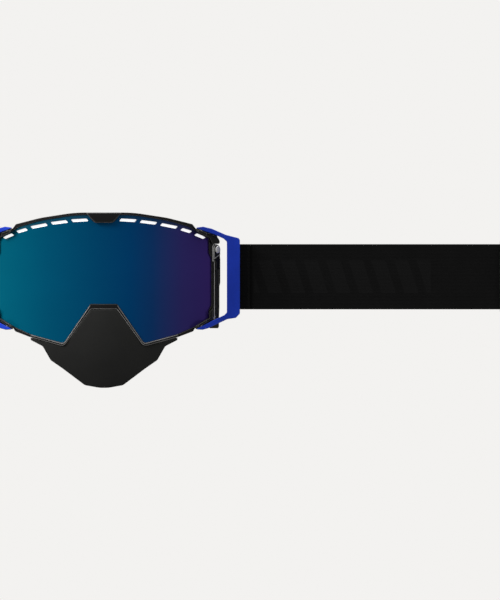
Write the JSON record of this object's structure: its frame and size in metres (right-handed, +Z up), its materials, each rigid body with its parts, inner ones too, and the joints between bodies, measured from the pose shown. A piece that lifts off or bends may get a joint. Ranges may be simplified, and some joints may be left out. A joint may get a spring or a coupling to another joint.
{
  "type": "ski goggles",
  "caption": "Ski goggles with a curved double lens, foam-padded face frame, swinging outriggers, latch levers, removable nose guard and an elastic strap closed by a clip.",
  "frame": {"origin": "on the symmetry plane, level with the middle of the strap, in the plane where the face foam reaches furthest back at the temples", "axes": "the lens faces -Y, the wearer's face is on the +Y side, +X is the viewer's right seen from the front, +Z is up"},
  "size_m": [0.6164, 0.0836, 0.1193],
  "materials": {
    "mirror_lens": "gloss",
    "clear_lens": "gloss",
    "rigid_black": "satin",
    "flexible_frame": "matte",
    "outrigger_blue": "satin",
    "latch_black": "satin",
    "bright_metal": "polished",
    "pin_steel": "brushed",
    "white_foam": "open-cell foam",
    "black_foam": "open-cell foam",
    "firm_foam": "open-cell foam",
    "soft_foam": "open-cell foam",
    "fleece": "brushed fleece",
    "strap_webbing": "woven elastic",
    "silicone": "gloss silicone",
    "guard_rubber": "matte"
  },
  "bodies": {
    "root": {"bezel": "rigid_black", "face_frame": "flexible_frame", "outer_lens": "mirror_lens", "inner_lens": "clear_lens", "lens_gasket": "black_foam", "lens_seal": "black_foam", "lens_vent_foam": "white_foam", "upper_vent_foam": "black_foam", "lower_vent_foam": "black_foam", "face_foam_firm": "firm_foam", "face_foam_soft": "soft_foam", "face_fleece": "fleece", "brow_clip": "rigid_black", "upper_right_corner_clip": "rigid_black", "upper_left_corner_clip": "rigid_black", "lower_right_corner_clip": "rigid_black", "lower_left_corner_clip": "rigid_black", "latch_pins": "bright_metal", "latch_washers": "bright_metal", "hinge_pins": "pin_steel"},
    "right_outrigger": {"right_outrigger": "outrigger_blue", "right_strap_pin": "pin_steel"},
    "right_latch": {"right_latch_lever": "latch_black"},
    "right_strap": {"right_strap": "strap_webbing", "right_grip_strips": "silicone"},
    "right_slider": {"right_slider": "latch_black"},
    "left_outrigger": {"left_outrigger": "outrigger_blue", "left_strap_pin": "pin_steel"},
    "left_latch": {"left_latch_lever": "latch_black"},
    "left_strap": {"left_strap": "strap_webbing", "left_grip_strips": "silicone"},
    "left_slider": {"left_slider": "latch_black"},
    "clip_hook": {"clip_hook": "latch_black"},
    "clip_loop": {"clip_loop": "latch_black"},
    "nose_guard": {"nose_guard": "guard_rubber"}
  },
  "joints": [
    {"name": "right_outrigger_hinge", "type": "hinge", "parent": "root", "child": "right_outrigger", "pos_m": [0.066, -0.05908, 0], "axis": [0, 0, 1], "range_deg": [-4, 5]},
    {"name": "right_latch_hinge", "type": "hinge", "parent": "root", "child": "right_latch", "pos_m": [0.07514, -0.04134, 0.0185], "axis": [0.7694, -0.6388, 0], "range_deg": [0, 8]},
    {"name": "right_strap_hinge", "type": "hinge", "parent": "right_outrigger", "child": "right_strap", "pos_m": [0.08727, -0.03226, 0], "axis": [0, 0, 1], "range_deg": [-3, 90]},
    {"name": "right_slider_slide", "type": "slide", "parent": "right_strap", "child": "right_slider", "axis": [-1, 0, 0], "range_m": [0, 0.065]},
    {"name": "left_outrigger_hinge", "type": "hinge", "parent": "root", "child": "left_outrigger", "pos_m": [-0.066, -0.05908, 0], "axis": [0, 0, -1], "range_deg": [-4, 5]},
    {"name": "left_latch_hinge", "type": "hinge", "parent": "root", "child": "left_latch", "pos_m": [-0.07514, -0.04134, 0.0185], "axis": [0.7694, 0.6388, 0], "range_deg": [0, 8]},
    {"name": "left_strap_hinge", "type": "hinge", "parent": "left_outrigger", "child": "left_strap", "pos_m": [-0.08727, -0.03226, 0], "axis": [0, 0, -1], "range_deg": [-3, 90]},
    {"name": "left_slider_slide", "type": "slide", "parent": "left_strap", "child": "left_slider", "axis": [1, 0, 0], "range_m": [0, 0.065]},
    {"name": "clip_hook_hinge", "type": "hinge", "parent": "right_strap", "child": "clip_hook", "pos_m": [0.291, -0.03226, 0], "axis": [0, 0, 1], "range_deg": [-40, 40]},
    {"name": "clip_loop_hinge", "type": "hinge", "parent": "left_strap", "child": "clip_loop", "pos_m": [-0.291, -0.03226, 0], "axis": [0, 0, -1], "range_deg": [-40, 40]},
    {"name": "nose_guard_slide", "type": "slide", "parent": "root", "child": "nose_guard", "axis": [0, -1, 0], "range_m": [0, 0.025]}
  ]
}
